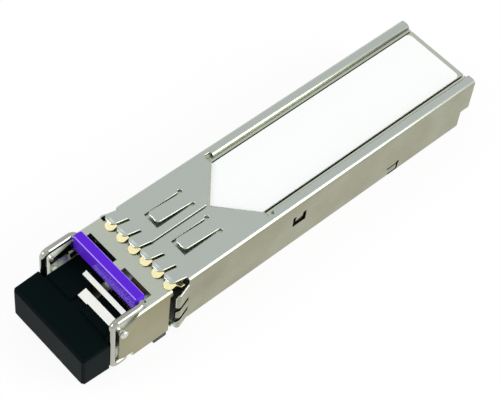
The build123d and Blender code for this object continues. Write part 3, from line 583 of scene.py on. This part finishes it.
# Bail: bright nickel plated wire, bent up in one piece, with a violet nylon grip moulded
# on its crossbar. Two domed pins in the side plates and a bronze strip under the grip
# hold it shut.
plated_wire = finish(
    "nickel_plated_wire", "#BDBDB2", "#A8A89D", roughness=0.13, grain_mm=0.2, metal=True, bump=0.02
)
wire_radius = 0.45 * MM
wire_bend = 0.8 * MM
crank_throw = 0.35 * MM
crank_places = (1.8 * MM, 3.5 * MM, 4.7 * MM)


def bent_route(corners, bend, steps=10):
    """The points of a route through corners, each one bent to the same radius."""
    points = [corners[0]]
    for before, corner, after in zip(corners, corners[1:], corners[2:]):
        back_way = (before - corner).normalized()
        on_way = (after - corner).normalized()
        half_angle = back_way.angle(on_way) / 2
        centre = corner + (back_way + on_way).normalized() * bend / math.sin(half_angle)
        start = corner + back_way * bend / math.tan(half_angle) - centre
        axis = on_way.cross(back_way).normalized()
        turned = math.pi - 2 * half_angle
        points += [centre + Matrix.Rotation(turned * i / steps, 3, axis) @ start for i in range(steps + 1)]
    return points + [corners[-1]]


def round_wire(name, points, radius):
    """A mesh object of a round wire along the points, its ends closed."""
    curve = bpy.data.curves.new(name, "CURVE")
    curve.dimensions = "3D"
    curve.bevel_depth = radius
    curve.bevel_resolution = 6
    curve.use_fill_caps = True
    line = curve.splines.new("POLY")
    line.points.add(len(points) - 1)
    for place, point in zip(line.points, points):
        place.co = (*point, 1.0)
    drawn = bpy.data.objects.new(name + "_line", curve)
    mesh = bpy.data.meshes.new_from_object(drawn)
    bpy.data.objects.remove(drawn)
    mesh.shade_smooth()
    piece = bpy.data.objects.new(name, mesh)
    bpy.context.scene.collection.objects.link(piece)
    return piece


wire_low, wire_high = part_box("bail_wire")
bail_hinge = next(joint for joint in frame["joints"] if joint["name"] == "bail_hinge")
hinge_y = bail_hinge["pos_m"][1]
leg_x = wire_high.x - wire_radius
leg_y, bar_y = wire_low.y + wire_radius, wire_high.y - wire_radius
hinge_z, bar_z = wire_low.z + wire_radius, wire_high.z - wire_radius
one_side = [
    Vector((crank_places[0], hinge_y - crank_throw, hinge_z)),
    Vector((crank_places[1], hinge_y - crank_throw, hinge_z)),
    Vector((crank_places[2], hinge_y, hinge_z)),
    Vector((leg_x, hinge_y, hinge_z)),
    Vector((leg_x, leg_y, hinge_z)),
    Vector((leg_x, leg_y, bar_z)),
    Vector((leg_x, bar_y, bar_z)),
]
other_side = [Vector((-p.x, p.y, p.z)) for p in reversed(one_side)]
wire = round_wire("bent_bail_wire", bent_route(one_side + other_side, wire_bend), wire_radius)
wire.data.materials.append(plated_wire)
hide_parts("bail_wire")
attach(wire, "bail")
# The grip's underside is lifted clear of the slot. Moulding leaves its nylon satin, and its four long
# edges are painted a paler violet, a painted highlight along the ridges.
violet_nylon = finish(
    "violet_moulded_nylon",
    "#5E2BD2",
    "#5423C4",
    roughness=0.3,
    grain_mm=0.12,
    bump=0.02,
    specular=0.04,
)
ridge_highlight_nylon = finish(
    "violet_painted_highlight",
    "#AE88FB",
    "#A078F8",
    roughness=0.3,
    grain_mm=0.12,
    bump=0.02,
    specular=0.3,
)
grip = whole_faces(frame["nodes"]["bail_grip"].data)
grip_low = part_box("bail_grip")[0]
underside_height, underside_lift = 1.0 * MM, 0.4 * MM
for vertex in grip.vertices:
    if vertex.co.z < grip_low.z + underside_height:
        vertex.co.z += underside_lift
eased(
    "bail_grip",
    "violet_bail_grip",
    "bail",
    violet_nylon,
    ease_mm=0.1,
    sharp=25,
    mesh=grip,
)


def on_long_edge(middle, normal):
    """Eased edges that run along the grip, and look midway between level and upright."""
    return abs(normal.x) < 0.3 and abs(abs(normal.y) - abs(normal.z)) < 0.35


# The grip's long edges take the pale violet painted highlight
refinish(grip, ridge_highlight_nylon, on_long_edge)
eased(
    "bail_stop_pins", "domed_stop_pins", "module", screw_steel, ease_mm=0.1, sharp=25
)
eased(
    "bail_detent_spring",
    "bronze_detent_spring",
    "module",
    spring_bronze,
    ease_mm=0.02,
)

# Dust plug: one moulding of soft black rubber, a block to pull on and two prongs that
# fill the ports. Its skin is matte and shows the grain of the mould.
plug_rubber = finish(
    "black_moulded_rubber",
    "#051111",
    "#030C0C",
    roughness=0.5,
    grain_mm=0.12,
    bump=0.08,
    specular=0.03,
)
eased("dust_plug", "moulded_dust_plug", "plug", plug_rubber, ease_mm=0.12, sharp=25)

# Label: bare white polyester, stuck in the recess of the panel. It is left blank.
label_stock = finish(
    "white_polyester_label", "#F0F1F0", "#EDEEED", roughness=0.5, grain_mm=0.2, bump=0.02
)
eased("label_sheet", "bare_label", "module", label_stock, ease_mm=0.03)

# Floor: a sheet of matte white paper under the module. The camera and the polished metal
# see it close to white, and it still keeps the module's shadow.
floor_size = 1.6
own_white = 0.9
shape = bmesh.new()
bmesh.ops.create_grid(shape, x_segments=1, y_segments=1, size=floor_size)
bmesh.ops.translate(shape, verts=shape.verts, vec=(0, 0, cad_low.z))
floor_mesh = bpy.data.meshes.new("paper_floor")
shape.to_mesh(floor_mesh)
shape.free()
floor = bpy.data.objects.new("paper_floor", floor_mesh)
bpy.context.scene.collection.objects.link(floor)
paper = bpy.data.materials.new("white_paper")
paper.use_nodes = True
paper_tree = paper.node_tree
paper_shader = paper_tree.nodes["Principled BSDF"]
paper_shader.inputs["Base Color"].default_value = linear("#F7F7F6")
paper_shader.inputs["Roughness"].default_value = 0.9
ray = add_node(paper_tree, "ShaderNodeLightPath")
camera_or_gloss = add_node(
    paper_tree,
    "ShaderNodeMath",
    {"operation": "MAXIMUM"},
    {0: ray.outputs["Is Camera Ray"], 1: ray.outputs["Is Glossy Ray"]},
)
seen_ray = add_node(
    paper_tree,
    "ShaderNodeMath",
    {"operation": "MAXIMUM"},
    {0: camera_or_gloss.outputs[0], 1: ray.outputs["Is Transmission Ray"]},
)
white_share = add_node(
    paper_tree,
    "ShaderNodeMath",
    {"operation": "MULTIPLY", 1: own_white},
    {0: seen_ray.outputs[0]},
)
glow = add_node(paper_tree, "ShaderNodeEmission", {"Color": (1, 1, 1, 1), "Strength": 1.0})
sheet = add_node(
    paper_tree,
    "ShaderNodeMixShader",
    {},
    {0: white_share.outputs[0], 1: paper_shader.outputs[0], 2: glow.outputs[0]},
)
paper_tree.links.new(sheet.outputs[0], paper_tree.nodes["Material Output"].inputs["Surface"])
floor_mesh.materials.append(paper)

# Light: a bright even room, with three soft boxes. One in front catches the edges turned
# to the port, one overhead lights the sloped rims, and one behind on the right catches
# the long folds.
world = bpy.data.worlds.new("pale_room")
bpy.context.scene.world = world
world.use_nodes = True
room = world.node_tree.nodes["Background"]
room.inputs["Color"].default_value = linear("#FBFDFC")
room.inputs["Strength"].default_value = 0.8


def soft_box(name, place, aim, size, watts):
    """A square soft box at place that faces aim."""
    lamp = bpy.data.lights.new(name, "AREA")
    lamp.shape = "SQUARE"
    lamp.size = size
    lamp.energy = watts
    box = bpy.data.objects.new(name, lamp)
    bpy.context.scene.collection.objects.link(box)
    box.location = place
    box.rotation_euler = (Vector(aim) - Vector(place)).to_track_quat("-Z", "Y").to_euler()


middle = (cad_low + cad_high) / 2
soft_box("front_soft_box", (-0.27, -0.56, 0.34), middle, size=0.2, watts=1.1)
soft_box("ceiling_soft_box", (-0.25, -0.07, 0.58), middle, size=0.24, watts=0.09)
soft_box("fold_soft_box", (0.55, 0.36, 0.3), middle, size=0.56, watts=3.6)

# Camera: above the near front corner, rolled a little, through a long lens. Its place and
# angles were fitted to the edges of the module in the photograph.
camera_place = (0.080894, -0.074869, 0.168098)
azimuth = math.radians(41.63)
elevation = math.radians(53.57)
roll = math.radians(7.85)
back = Vector(
    (
        math.sin(azimuth) * math.cos(elevation),
        -math.cos(azimuth) * math.cos(elevation),
        math.sin(elevation),
    )
)
level = (-back).cross(Vector((0, 0, 1))).normalized()
upright = level.cross(-back)
right = math.cos(roll) * level + math.sin(roll) * upright
up = -math.sin(roll) * level + math.cos(roll) * upright
lens = bpy.data.cameras.new("camera")
lens.sensor_width = 36
lens.lens = 117.9
lens.clip_start = 0.01
camera = bpy.data.objects.new("camera", lens)
bpy.context.scene.collection.objects.link(camera)
turn = Matrix((right, up, back)).transposed().to_4x4()
camera.matrix_world = Matrix.Translation(camera_place) @ turn
bpy.context.scene.camera = camera
bpy.context.scene.view_settings.view_transform = "Standard"
